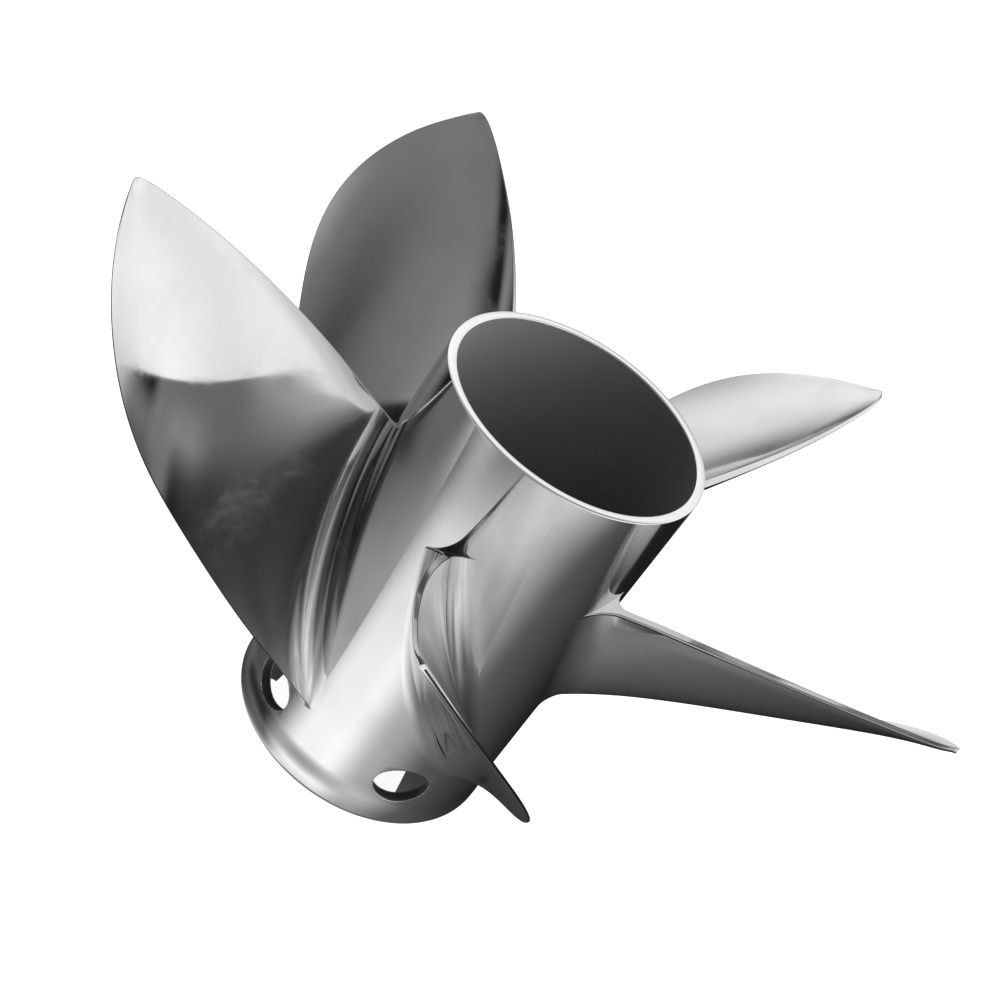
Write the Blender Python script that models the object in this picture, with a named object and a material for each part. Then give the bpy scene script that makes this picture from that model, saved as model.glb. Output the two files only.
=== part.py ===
"""Left-hand five-blade outboard propeller with its exhaust through the hub.

The hub, its blades, its ribs and the inner hub are one stainless casting on the real
object, and each is a solid of its own here. A rubber cushion pressed into the inner
hub carries the splined sleeve that the shaft drives.

Metres. The shaft axis is +Z, with the open exhaust end up. The origin is on the axis
in the plane of the front lip, which the propeller stands on. Blade angles are seen
from the exhaust end and grow anticlockwise, the way the propeller turns ahead.
"""
import math

import bmesh
import bpy
from mathutils import Matrix, Vector

INCH = 0.0254

# Driving dimensions of the casting
BLADE_COUNT = 5
TIP_RADIUS = 15.04 * INCH / 2
PITCH = 28.3 * INCH
HUB_LENGTH = 0.194
HUB_AFT_RADIUS = 0.0582
HUB_FRONT_RADIUS = 0.0594
HUB_AFT_WALL = 0.0040
HUB_FRONT_WALL = 0.0050
RIM_ROUND = 0.0006
SEAT_GAP = 0.0003
ROOT_GAP = 0.0004

# Front lip: the flared ring that meets the gearcase
LIP_RADIUS = 0.0605
LIP_HEIGHT = 0.018
LIP_BAND = 0.0070
LIP_FOOT_ROUND = 0.0030
NECK_STEPS = 4

# Blade outline: the trailing edge leans aft and the chord wraps forward from it
TRAIL_ROOT_SETBACK = 0.0493
TRAIL_RISE = 0.0585
TRAIL_ARCH = 0.0034
TRAIL_ROOT_ANGLE = math.radians(188.7)
TRAIL_SWEEP = math.radians(9.6)
TIP_ROUND_SWEEP = math.radians(0.84)
TIP_ROUND_POWER = 40
TRAIL_BOW = math.radians(-0.85)
CHORD_WRAP = math.radians(55.8)
CHORD_TAPER_POWER = 0.558
CHORD_TIP_SHARE = 0.9999
CHORD_BELLY = -0.156
CHORD_TIP_GAIN = 0.50
CHORD_LEAN = -0.25
LEAD_FLARE_WRAP = math.radians(3.6)
LEAD_FLARE_SPAN = 0.25
ROOT_PITCH_LOSS = 0.087
TIP_PITCH_LOSS = 0.170
BELLY_PITCH_GAIN = 0.072
PITCH_LEAN = 0.143

# Blade thickness
TRAIL_THICKNESS_ROOT = 0.0042
TRAIL_THICKNESS_TIP = 0.0018
LEAD_THICKNESS = 0.0010
BULGE_ROOT = 0.0060
BULGE_TIP = 0.0012
CAMBER_ROOT_SHARE = 0.054
CAMBER_TIP_SHARE = 0.003
BACK_FILLET = 0.0090
DRIVING_FILLET_GAIN = 0.0050
FILLET_GAIN_POWER = 4
LEAD_FILLET_LOSS = 0.75
LEAD_FILLET_POWER = 8

# How finely a blade is divided
CHORD_STEPS = 12
FACE_STEPS = 4
FILLET_STEPS = 5
SPAN_STEPS = 14

# Vent holes through the hub wall, one ahead of each blade
VENT_ANGLE = math.radians(228.9)
VENT_HEIGHT = 0.0253
VENT_HALF_WIDTH = 0.0124
VENT_HALF_HEIGHT = 0.0100
VENT_CUT_DEPTH = 0.03
VENT_SIDES = 24

# Inner hub, its ribs, and what is pressed into it
INNER_RADIUS = 0.0290
INNER_WALL = 0.0035
INNER_BOTTOM = 0.0100
INNER_TOP = 0.1180
INNER_LIP_RADIUS = 0.0200
INNER_LIP_HEIGHT = 0.0045
RIB_COUNT = 3
RIB_THICKNESS = 0.0050
RIB_BOTTOM = 0.0005
RIB_TOP = 0.1080
RIB_FOOT_RADIUS = 0.0428
RIB_THROAT_RADIUS = 0.0395
RIB_THROAT_HEIGHT = 0.0180
RIB_NECK_HEIGHT = 0.0300
RIB_ANGLE = math.radians(199.0)
SLEEVE_RADIUS = 0.0145
SLEEVE_BOTTOM = 0.0110
SLEEVE_TOP = 0.1060
SLEEVE_CHAMFER = 0.0012
SPLINE_TEETH = 15
SPLINE_ROOT_RADIUS = 0.0127
SPLINE_TIP_RADIUS = 0.0113
CUSHION_BOTTOM = 0.0200
CUSHION_TOP = 0.1000
CUSHION_ROUND = 0.0020

TURN_STEPS = 80
INNER_TURN_STEPS = 48
FULL_TURN = 2 * math.pi


def clear_scene():
    """Remove the objects that are in the scene."""
    for old in list(bpy.data.objects):
        bpy.data.objects.remove(old, do_unlink=True)


def make_material(name, colour, roughness, metallic):
    """A plain Principled material."""
    material = bpy.data.materials.new(name)
    material.use_nodes = True
    shader = material.node_tree.nodes["Principled BSDF"]
    shader.inputs["Base Color"].default_value = (*colour, 1.0)
    shader.inputs["Roughness"].default_value = roughness
    shader.inputs["Metallic"].default_value = metallic
    material.diffuse_color = (*colour, 1.0)
    return material


def add_object(name, mesh, material):
    """Link a mesh to the scene as a named object with its material."""
    mesh.materials.append(material)
    made = bpy.data.objects.new(name, mesh)
    bpy.context.scene.collection.objects.link(made)
    return made


def mesh_from(bm, name, sharp_angle=math.radians(35)):
    """Turn a bmesh into a mesh, facing out and shaded smooth."""
    bmesh.ops.recalc_face_normals(bm, faces=bm.faces)
    mesh = bpy.data.meshes.new(name)
    bm.to_mesh(mesh)
    bm.free()
    mesh.shade_smooth()
    mesh.set_sharp_from_angle(angle=sharp_angle)
    return mesh


def turned_mesh(name, outline, steps):
    """Spin a closed outline of (radius, height) points about the shaft axis."""
    bm = bmesh.new()
    corners = [bm.verts.new((radius, 0.0, height)) for radius, height in outline]
    edges = [bm.edges.new((corner, corners[i - 1])) for i, corner in enumerate(corners)]
    bmesh.ops.spin(bm, geom=corners + edges, cent=(0, 0, 0), axis=(0, 0, 1),
                   angle=FULL_TURN, steps=steps, use_merge=True)
    bmesh.ops.remove_doubles(bm, verts=bm.verts, dist=1e-6)
    return mesh_from(bm, name)


def hub_radius(height):
    """Outer radius of the tapered hub, above the lip."""
    share = height / HUB_LENGTH
    return HUB_FRONT_RADIUS + (HUB_AFT_RADIUS - HUB_FRONT_RADIUS) * share


def hub_bore(height):
    """Inner radius of the hub's wall."""
    share = height / HUB_LENGTH
    front = HUB_FRONT_RADIUS - HUB_FRONT_WALL
    return front + (HUB_AFT_RADIUS - HUB_AFT_WALL - front) * share


def arc(centre, radius, start, end, steps):
    """Points on an arc in the (radius, height) plane, its angles in degrees."""
    points = []
    for i in range(steps + 1):
        angle = math.radians(start + (end - start) * i / steps)
        points.append((centre[0] + radius * math.cos(angle), centre[1] + radius * math.sin(angle)))
    return points


def hub_outline():
    """The hub's wall with the flared lip at its front."""
    foot = arc((LIP_RADIUS - LIP_FOOT_ROUND, LIP_FOOT_ROUND), LIP_FOOT_ROUND, -90, 0, 4)
    neck = []
    for i in range(NECK_STEPS + 1):
        share = i / NECK_STEPS
        height = LIP_BAND + (LIP_HEIGHT - LIP_BAND) * share
        blend = (1 + math.cos(math.pi * share)) / 2
        neck.append((hub_radius(height) + (LIP_RADIUS - hub_radius(height)) * blend, height))
    rim = [(hub_radius(HUB_LENGTH), HUB_LENGTH - RIM_ROUND),
           (HUB_AFT_RADIUS - RIM_ROUND, HUB_LENGTH),
           (hub_bore(HUB_LENGTH) + RIM_ROUND, HUB_LENGTH),
           (hub_bore(HUB_LENGTH), HUB_LENGTH - RIM_ROUND)]
    return foot + neck + rim + [(hub_bore(0.0), 0.0)]


def vent_cutter():
    """One hidden cutter with an oval plug through the wall at each vent."""
    bm = bmesh.new()
    for i in range(BLADE_COUNT):
        angle = VENT_ANGLE + FULL_TURN * i / BLADE_COUNT
        place = (Matrix.Rotation(angle, 4, "Z")
                 @ Matrix.Translation((HUB_FRONT_RADIUS, 0.0, VENT_HEIGHT))
                 @ Matrix.Rotation(math.pi / 2, 4, "Y")
                 @ Matrix.Diagonal((VENT_HALF_HEIGHT, VENT_HALF_WIDTH, 1.0, 1.0)))
        bmesh.ops.create_cone(bm, cap_ends=True, segments=VENT_SIDES, radius1=1.0,
                              radius2=1.0, depth=VENT_CUT_DEPTH, matrix=place)
    bmesh.ops.recalc_face_normals(bm, faces=bm.faces)
    mesh = bpy.data.meshes.new("vent_cutter")
    bm.to_mesh(mesh)
    bm.free()
    cutter = bpy.data.objects.new("vent_cutter", mesh)
    bpy.context.scene.collection.objects.link(cutter)
    cutter.hide_render = True
    cutter.display_type = "WIRE"
    return cutter


def build_hub(steel):
    """The hub barrel with its lip and vents."""
    hub = add_object("hub_barrel", turned_mesh("hub_barrel", hub_outline(), TURN_STEPS), steel)
    cut = hub.modifiers.new("vents", "BOOLEAN")
    cut.operation = "DIFFERENCE"
    cut.solver = "EXACT"
    cut.object = vent_cutter()
    return hub


def belly(share):
    """Nothing at both ends of a share and one halfway."""
    return 4 * share * (1 - share)


def lean(share):
    """Nothing at both ends and halfway, below zero before and above it after."""
    return belly(share) * (2 * share - 1)


def trail_height(span):
    """Height of the trailing edge at a share of the span."""
    root = HUB_LENGTH - TRAIL_ROOT_SETBACK
    return root + TRAIL_RISE * span + TRAIL_ARCH * belly(span)


def trail_angle(span):
    """Angle of the trailing edge, which rounds over to the tip."""
    bow = TRAIL_BOW * belly(span)
    rounding = TIP_ROUND_SWEEP * span ** TIP_ROUND_POWER
    return TRAIL_ROOT_ANGLE + TRAIL_SWEEP * span + bow + rounding


def chord_wrap(span):
    """Angle that the chord covers round the shaft."""
    taper = (1 - CHORD_TIP_SHARE * span) ** CHORD_TAPER_POWER
    fullness = 1 + CHORD_BELLY * belly(span) + CHORD_TIP_GAIN * span ** 2 + CHORD_LEAN * lean(span)
    flare = max(0.0, 1 - span / LEAD_FLARE_SPAN)
    return CHORD_WRAP * taper * fullness + LEAD_FLARE_WRAP * flare ** 2


def chord_drop(span):
    """Height that the chord loses from the trailing to the leading edge."""
    loss = ROOT_PITCH_LOSS * (1 - span) ** 4 + TIP_PITCH_LOSS * span ** 4
    gain = BELLY_PITCH_GAIN * belly(span) + PITCH_LEAN * lean(span)
    return PITCH * (1 + gain - loss) * chord_wrap(span) / FULL_TURN


def fillet_radius(chord, driving):
    """Radius of the root fillet: fuller on the driving face, small at the leading edge."""
    gain = DRIVING_FILLET_GAIN * (1 - (1 - chord) ** FILLET_GAIN_POWER) if driving else 0.0
    return (BACK_FILLET + gain) * (1 - LEAD_FILLET_LOSS * chord ** LEAD_FILLET_POWER)


def half_thickness(span, chord, driving):
    """From the middle of the blade to one face, with the root fillet."""
    trail = TRAIL_THICKNESS_ROOT + (TRAIL_THICKNESS_TIP - TRAIL_THICKNESS_ROOT) * span
    bulge = BULGE_ROOT + (BULGE_TIP - BULGE_ROOT) * span
    plain = trail * (1 - chord) + LEAD_THICKNESS * chord + bulge * belly(chord)
    radius = fillet_radius(chord, driving)
    left = max(0.0, radius - span * (TIP_RADIUS - HUB_AFT_RADIUS))
    return plain / 2 + radius - math.sqrt(radius ** 2 - left ** 2)


def blade_point(span, chord, side):
    """A point of a blade: side is 1 on the driving face, -1 on the back, 0 midway."""
    wrap = chord_wrap(span)
    drop = chord_drop(span)
    angle = trail_angle(span) + wrap * chord
    height = trail_height(span) - drop * chord
    seat = hub_radius(height) + ROOT_GAP
    radius = seat + (TIP_RADIUS - seat) * span
    length = math.hypot(radius * wrap, drop)
    camber_share = CAMBER_ROOT_SHARE + (CAMBER_TIP_SHARE - CAMBER_ROOT_SHARE) * span
    camber = camber_share * length * belly(chord)
    offset = side * half_thickness(span, chord, side > 0) - camber
    angle += offset * drop / length / radius
    height += offset * radius * wrap / length
    seat = hub_radius(height) + ROOT_GAP
    radius = seat + (TIP_RADIUS - seat) * span
    return Vector((radius * math.cos(angle), radius * math.sin(angle), height))


def section_grid_keys():
    """(chord step, side step) pairs round the edge of a blade section, in order."""
    face = [(i, FACE_STEPS) for i in range(CHORD_STEPS + 1)]
    lead = [(CHORD_STEPS, k) for k in range(FACE_STEPS - 1, 0, -1)]
    back = [(i, 0) for i in range(CHORD_STEPS, -1, -1)]
    trail = [(0, k) for k in range(1, FACE_STEPS)]
    return face + lead + back + trail


def close_section(bm, span, ring):
    """Fill a section's end with a grid that follows the hub's curve."""
    grid = dict(ring)
    for i in range(1, CHORD_STEPS):
        for k in range(1, FACE_STEPS):
            grid[i, k] = bm.verts.new(blade_point(span, i / CHORD_STEPS, 2 * k / FACE_STEPS - 1))
    for i in range(CHORD_STEPS):
        for k in range(FACE_STEPS):
            bm.faces.new((grid[i, k], grid[i + 1, k], grid[i + 1, k + 1], grid[i, k + 1]))


def blade_spans():
    """Shares of the span where sections lie, closer in the root fillet and at the tip."""
    top = (BACK_FILLET + DRIVING_FILLET_GAIN) / (TIP_RADIUS - HUB_AFT_RADIUS)
    quarter = math.pi / 2
    fillet = [top * (1 - math.cos(quarter * i / FILLET_STEPS)) for i in range(FILLET_STEPS)]
    rest = [top + (1 - top) * math.sin(quarter * i / SPAN_STEPS) for i in range(SPAN_STEPS + 1)]
    return fillet + rest


def blade_mesh():
    """One blade, lofted through its sections from the hub to the tip."""
    bm = bmesh.new()
    spans = blade_spans()
    keys = section_grid_keys()
    rings = []
    for span in spans:
        ring = {}
        for i, k in keys:
            point = blade_point(span, i / CHORD_STEPS, 2 * k / FACE_STEPS - 1)
            ring[i, k] = bm.verts.new(point)
        rings.append(ring)
    for lower, upper in zip(rings, rings[1:]):
        for key, following in zip(keys, keys[1:] + keys[:1]):
            bm.faces.new((lower[key], lower[following], upper[following], upper[key]))
    close_section(bm, spans[0], rings[0])
    close_section(bm, spans[-1], rings[-1])
    return mesh_from(bm, "blade")


def build_blades(steel):
    """Five like blades round the hub."""
    mesh = blade_mesh()
    mesh.materials.append(steel)
    for i in range(BLADE_COUNT):
        blade = bpy.data.objects.new(f"blade_{i + 1}", mesh)
        blade.rotation_euler.z = FULL_TURN * i / BLADE_COUNT
        bpy.context.scene.collection.objects.link(blade)


def build_inner_hub(steel):
    """The inner hub tube, with a lip at its aft end that holds the cushion."""
    bore = INNER_RADIUS - INNER_WALL
    chamfer = SLEEVE_CHAMFER
    outline = [(INNER_RADIUS - chamfer, INNER_BOTTOM), (INNER_RADIUS, INNER_BOTTOM + chamfer),
               (INNER_RADIUS, INNER_TOP - chamfer), (INNER_RADIUS - chamfer, INNER_TOP),
               (INNER_LIP_RADIUS, INNER_TOP), (INNER_LIP_RADIUS, INNER_TOP - INNER_LIP_HEIGHT),
               (bore, INNER_TOP - INNER_LIP_HEIGHT), (bore, INNER_BOTTOM)]
    return add_object("inner_hub", turned_mesh("inner_hub", outline, INNER_TURN_STEPS), steel)


def rib_reach(height):
    """How far out a rib reaches, just short of the hub's faceted bore."""
    facet = math.cos(FULL_TURN / TURN_STEPS / 2)
    bore = hub_bore(height) * facet - SEAT_GAP
    return math.sqrt(bore ** 2 - (RIB_THICKNESS / 2) ** 2)


def rib_mesh():
    """A radial rib: a foot with a free inner edge at the front, full depth above it."""
    near = INNER_RADIUS + SEAT_GAP
    outline = ((rib_reach(RIB_BOTTOM), RIB_BOTTOM), (rib_reach(RIB_TOP), RIB_TOP),
               (near, RIB_TOP), (near, RIB_NECK_HEIGHT),
               (RIB_THROAT_RADIUS, RIB_THROAT_HEIGHT), (RIB_FOOT_RADIUS, RIB_BOTTOM))
    bm = bmesh.new()
    sides = []
    for y in (-RIB_THICKNESS / 2, RIB_THICKNESS / 2):
        sides.append([bm.verts.new((radius, y, height)) for radius, height in outline])
        bm.faces.new(sides[-1])
    one, other = sides
    for i in range(len(outline)):
        bm.faces.new((one[i - 1], one[i], other[i], other[i - 1]))
    return mesh_from(bm, "rib")


def build_ribs(steel):
    """Like ribs spaced evenly round the inner hub."""
    mesh = rib_mesh()
    mesh.materials.append(steel)
    for i in range(RIB_COUNT):
        rib = bpy.data.objects.new(f"rib_{i + 1}", mesh)
        rib.rotation_euler.z = RIB_ANGLE + FULL_TURN * i / RIB_COUNT
        bpy.context.scene.collection.objects.link(rib)


def build_cushion(rubber):
    """The rubber ring between the inner hub and the sleeve."""
    outer = INNER_RADIUS - INNER_WALL - SEAT_GAP
    inner = SLEEVE_RADIUS + SEAT_GAP
    outline = [(outer - CUSHION_ROUND, CUSHION_BOTTOM), (outer, CUSHION_BOTTOM + CUSHION_ROUND),
               (outer, CUSHION_TOP - CUSHION_ROUND), (outer - CUSHION_ROUND, CUSHION_TOP),
               (inner, CUSHION_TOP), (inner, CUSHION_BOTTOM)]
    return add_object("hub_cushion", turned_mesh("hub_cushion", outline, INNER_TURN_STEPS), rubber)


def spline_radius(step):
    """Bore radius at a quarter of a tooth: two quarters on its tip, two in the gap."""
    return SPLINE_TIP_RADIUS if step % 4 in (1, 2) else SPLINE_ROOT_RADIUS


def build_sleeve(brass):
    """The splined sleeve that slides onto the shaft."""
    bm = bmesh.new()
    steps = SPLINE_TEETH * 4
    low = SLEEVE_BOTTOM + SLEEVE_CHAMFER
    high = SLEEVE_TOP - SLEEVE_CHAMFER
    shell = ((None, SLEEVE_BOTTOM), (SLEEVE_RADIUS - SLEEVE_CHAMFER, SLEEVE_BOTTOM),
             (SLEEVE_RADIUS, low), (SLEEVE_RADIUS, high),
             (SLEEVE_RADIUS - SLEEVE_CHAMFER, SLEEVE_TOP), (None, SLEEVE_TOP))
    loops = []
    for radius, height in shell:
        loop = []
        for step in range(steps):
            angle = FULL_TURN * step / steps
            reach = spline_radius(step) if radius is None else radius
            loop.append(bm.verts.new((reach * math.cos(angle), reach * math.sin(angle), height)))
        loops.append(loop)
    for inner, outer in zip(loops, loops[1:] + loops[:1]):
        for step in range(steps):
            bm.faces.new((inner[step - 1], inner[step], outer[step], outer[step - 1]))
    return add_object("drive_sleeve", mesh_from(bm, "drive_sleeve"), brass)


def main():
    """Build the propeller."""
    clear_scene()
    polished = make_material("polished_stainless", (0.62, 0.62, 0.61), 0.16, 1.0)
    cast = make_material("cast_stainless", (0.40, 0.40, 0.40), 0.45, 1.0)
    rubber = make_material("cushion_rubber", (0.03, 0.03, 0.03), 0.7, 0.0)
    brass = make_material("sleeve_brass", (0.70, 0.53, 0.25), 0.3, 1.0)
    build_hub(polished)
    build_blades(polished)
    build_inner_hub(cast)
    build_ribs(cast)
    build_cushion(rubber)
    build_sleeve(brass)


main()
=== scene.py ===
"""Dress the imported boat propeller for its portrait.

The barrel, blades, ribs, inner hub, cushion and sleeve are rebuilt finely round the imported
solids: a mirror-polished stainless casting outside, satin as-cast steel inside the barrel,
a black rubber cushion and a machined brass sleeve. Metres, with the shaft axis along +Z and
the open exhaust end up.
"""
from __future__ import annotations

import logging
import math
from dataclasses import dataclass
from enum import Enum
from typing import Any, Iterable, Sequence

import bmesh
import bpy
from mathutils import Matrix, Vector

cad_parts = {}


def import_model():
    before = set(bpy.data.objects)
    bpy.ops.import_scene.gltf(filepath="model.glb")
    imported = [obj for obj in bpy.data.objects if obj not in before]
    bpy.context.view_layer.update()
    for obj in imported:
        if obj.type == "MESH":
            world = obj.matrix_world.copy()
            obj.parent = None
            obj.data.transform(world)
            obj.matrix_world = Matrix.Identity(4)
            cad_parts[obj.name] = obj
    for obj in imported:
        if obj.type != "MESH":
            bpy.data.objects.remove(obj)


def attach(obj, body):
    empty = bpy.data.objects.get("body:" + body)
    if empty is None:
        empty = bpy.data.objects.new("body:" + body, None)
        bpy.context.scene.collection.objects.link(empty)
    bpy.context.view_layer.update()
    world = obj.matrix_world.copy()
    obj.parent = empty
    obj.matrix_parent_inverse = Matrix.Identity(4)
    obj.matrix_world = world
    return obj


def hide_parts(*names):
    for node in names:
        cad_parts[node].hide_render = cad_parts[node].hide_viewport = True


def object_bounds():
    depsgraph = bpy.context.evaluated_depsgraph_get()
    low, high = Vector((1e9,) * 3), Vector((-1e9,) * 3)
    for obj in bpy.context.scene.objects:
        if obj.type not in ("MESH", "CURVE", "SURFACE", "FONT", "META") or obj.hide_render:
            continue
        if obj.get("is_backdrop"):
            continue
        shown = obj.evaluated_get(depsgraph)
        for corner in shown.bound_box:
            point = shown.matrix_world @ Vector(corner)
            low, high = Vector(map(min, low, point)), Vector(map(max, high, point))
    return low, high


LOG = logging.getLogger("propeller")
FULL_TURN = 2 * math.pi
INCH = 0.0254
MERGE = 1e-6
# Blade attribute that places painted shade: near-black lines along the rounded edges.
EDGE_SHADE_MARK = "painted_edge_shade"

Point = tuple[float, float]
Triple = tuple[float, float, float]
Value = Any
Inputs = dict[str | int, Value]
Piece = bpy.types.Object


class Slot(Enum):
    """Names of the material slots."""

    POLISHED = "polished_stainless"
    CAST = "cast_stainless"
    RUBBER = "cushion_rubber"
    BRASS = "sleeve_brass"


class Face(Enum):
    """The two faces of a blade, by the side of the chord that they lie on."""

    DRIVING = 1.0
    BACK = -1.0


# Shader maths


class Socket:
    """An output socket whose operators add Math nodes to its tree."""

    def __init__(self, shader: "Shader", link: bpy.types.NodeSocket) -> None:
        """Keep the tree and the socket."""
        self.shader = shader
        self.link = link

    def math(self, operation: str, *others: Value) -> "Socket":
        """Add a Math node.

        Args:
            operation: the node's operation.
            others: the values or sockets after this one.

        Returns:
            The node's result.
        """
        return self.shader.math(operation, self, *others)

    def __add__(self, other: Value) -> "Socket":
        """Add."""
        return self.shader.math("ADD", self, other)

    def __radd__(self, other: Value) -> "Socket":
        """Add, from the right."""
        return self.shader.math("ADD", other, self)

    def __sub__(self, other: Value) -> "Socket":
        """Subtract."""
        return self.shader.math("SUBTRACT", self, other)

    def __rsub__(self, other: Value) -> "Socket":
        """Subtract, from the right."""
        return self.shader.math("SUBTRACT", other, self)

    def __mul__(self, other: Value) -> "Socket":
        """Multiply."""
        return self.shader.math("MULTIPLY", self, other)

    def __rmul__(self, other: Value) -> "Socket":
        """Multiply, from the right."""
        return self.shader.math("MULTIPLY", other, self)

    def __abs__(self) -> "Socket":
        """The size of the value."""
        return self.shader.math("ABSOLUTE", self)


class Shader:
    """A node tree of a material or of the world, built through one method."""

    def __init__(self, owner: bpy.types.Material | bpy.types.World) -> None:
        """Clear the owner's tree.

        Args:
            owner: the material or world to build in.
        """
        owner.use_nodes = True
        self.tree = owner.node_tree
        self.tree.nodes.clear()

    def node(self, kind: str, settings: dict[str, Value] | None = None,
             sockets: Inputs | None = None) -> bpy.types.Node:
        """Add any node.

        Args:
            kind: the node's type, without the ShaderNode in front.
            settings: its properties.
            sockets: values or sockets for its inputs, by name or number.

        Returns:
            The node.
        """
        made = self.tree.nodes.new("ShaderNode" + kind)
        for name, value in (settings or {}).items():
            setattr(made, name, value)
        for name, value in (sockets or {}).items():
            if isinstance(value, Socket):
                self.tree.links.new(value.link, made.inputs[name])
            else:
                made.inputs[name].default_value = value
        return made

    def out(self, kind: str, name: str | int = 0, settings: dict[str, Value] | None = None,
            sockets: Inputs | None = None) -> Socket:
        """Add a node and return one of its outputs."""
        return Socket(self, self.node(kind, settings, sockets).outputs[name])

    def math(self, operation: str, *values: Value) -> Socket:
        """Add a Math node on values or sockets."""
        return self.out("Math", 0, {"operation": operation}, dict(enumerate(values)))

    def step(self, value: Socket, low: float, high: float) -> Socket:
        """A smooth step of a value, from 0 at low to 1 at high."""
        return self.out("MapRange", "Result", {"interpolation_type": "SMOOTHSTEP"},
                        {"Value": value, "From Min": low, "From Max": high})

    def place(self) -> Socket:
        """The point on the object, in metres."""
        return self.out("TexCoord", "Object")

    def noise(self, vector: Socket, scale: float, detail: float, roughness: float) -> Socket:
        """Smooth noise from 0 to 1."""
        return self.out("TexNoise", 0, None, {"Vector": vector, "Scale": scale,
                                              "Detail": detail, "Roughness": roughness})

    def patches(self, vector: Socket, scale: float, levels: Point, detail: float = 5.0,
                roughness: float = 0.6) -> Socket:
        """Patches of noise, from 0 below the first level to 1 above the second."""
        return self.step(self.noise(vector, scale, detail, roughness), *levels)

    def stretched(self, vector: Socket, scale: Triple) -> Socket:
        """A vector multiplied by a scale on each axis."""
        return self.out("VectorMath", 0, {"operation": "MULTIPLY"}, {0: vector, 1: scale})

    def parts(self, vector: Socket) -> tuple[Socket, Socket, Socket]:
        """The X, Y and Z of a vector."""
        split = self.node("SeparateXYZ", None, {0: vector})
        return tuple(Socket(self, output) for output in split.outputs)

    def radius(self, vector: Socket) -> Socket:
        """The distance of a point from the shaft axis."""
        x, y, _ = self.parts(vector)
        return (x * x + y * y).math("SQRT")

    def mix(self, factor: Socket, first: Value, second: Value) -> Socket:
        """A colour between two colours or sockets, by a factor from 0 to 1."""
        ends = [end if isinstance(end, Socket) else (*end, 1.0) for end in (first, second)]
        return self.out("Mix", 2, {"data_type": "RGBA"}, {0: factor, 6: ends[0], 7: ends[1]})

    def bump(self, height: Socket, distance: float, under: Socket | None = None) -> Socket:
        """Add a Bump node.

        Args:
            height: the relief, from 0 to 1.
            distance: metres from the lowest to the highest.
            under: the normal that the relief lies on, where there is one.

        Returns:
            The bumped normal.
        """
        sockets: Inputs = {"Height": height, "Distance": distance, "Strength": 1.0}
        if under is not None:
            sockets["Normal"] = under
        return self.out("Bump", "Normal", None, sockets)

    def finish(self, sockets: Inputs) -> None:
        """End a material in a Principled shader with these inputs."""
        surface = self.out("BsdfPrincipled", 0, None, sockets)
        self.node("OutputMaterial", None, {"Surface": surface})


@dataclass(frozen=True)
class Finish:
    """A named surface finish."""

    name: str

    def material(self) -> bpy.types.Material:
        """Make the finish's material, the first time that it is asked for.

        Returns:
            The material.
        """
        found = bpy.data.materials.get(self.name)
        if found is None:
            found = bpy.data.materials.new(self.name)
            self.paint(Shader(found))
        return found

    def paint(self, shader: Shader) -> None:
        """Build the node tree in the material's shader; each finish has its own."""
        raise NotImplementedError


@dataclass(frozen=True)
class MirrorSteel(Finish):
    """Cast stainless polished to a mirror, still wavy from the belt and hazy from the buff."""

    name: str = "mirror_polished_stainless"
    colour: Triple = (0.74, 0.74, 0.735)
    smear_colour: Triple = (0.69, 0.69, 0.69)
    roughness: float = 0.055
    smear_roughness: float = 0.12
    smear_scale: float = 30.0
    smear_range: Point = (0.42, 0.72)
    wave_scale: float = 22.0
    wave_depth: float = 0.00004
    buff_scale: Triple = (260.0, 260.0, 60.0)
    buff_depth: float = 0.0000015
    # Painted shade: the near-black colour of the lines along the rounded edges.
    edge_shade_colour: Triple = (0.05, 0.05, 0.05)
    haze_scale: Triple = (16.0, 16.0, 34.0)
    haze_range: Point = (0.50, 0.70)
    haze_roughness: float = 0.13

    def smear(self, shader: Shader, place: Socket) -> Socket:
        """Patches from 0 to 1 where the polish is duller."""
        return shader.patches(place, self.smear_scale, self.smear_range, 4.0)

    def steel(self, shader: Shader, smear: Socket) -> Socket:
        """The polished metal's colour."""
        return shader.mix(smear, self.colour, self.smear_colour)

    def polish(self, smear: Socket) -> Socket:
        """The polished metal's roughness."""
        return smear * (self.smear_roughness - self.roughness) + self.roughness

    def waves(self, shader: Shader, place: Socket) -> Socket:
        """A normal with the long waves that the belt leaves."""
        return shader.bump(shader.noise(place, self.wave_scale, 1.0, 0.4), self.wave_depth)

    def paint(self, shader: Shader) -> None:
        """Mirror polish with belt waves, hazy buffing smears and painted shade, near-black lines
        along the rounded edges.

        Args:
            shader: the material's shader.
        """
        place = shader.place()
        smear = self.smear(shader, place)
        haze = shader.patches(shader.stretched(place, self.haze_scale), 1.0, self.haze_range,
                              6.0, 0.7)
        buff = shader.noise(shader.stretched(place, self.buff_scale), 1.0, 3.0, 0.6)
        # Painted shade: the edge attribute turns the steel near black along the rounded edges.
        edge = shader.out("Attribute", "Fac", {"attribute_name": EDGE_SHADE_MARK})
        shader.finish({
            "Base Color": shader.mix(edge, self.steel(shader, smear), self.edge_shade_colour),
            "Metallic": 1.0,
            "Roughness": self.polish(smear) + haze * self.haze_roughness,
            "Normal": shader.bump(buff, self.buff_depth, self.waves(shader, place)),
        })


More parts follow.
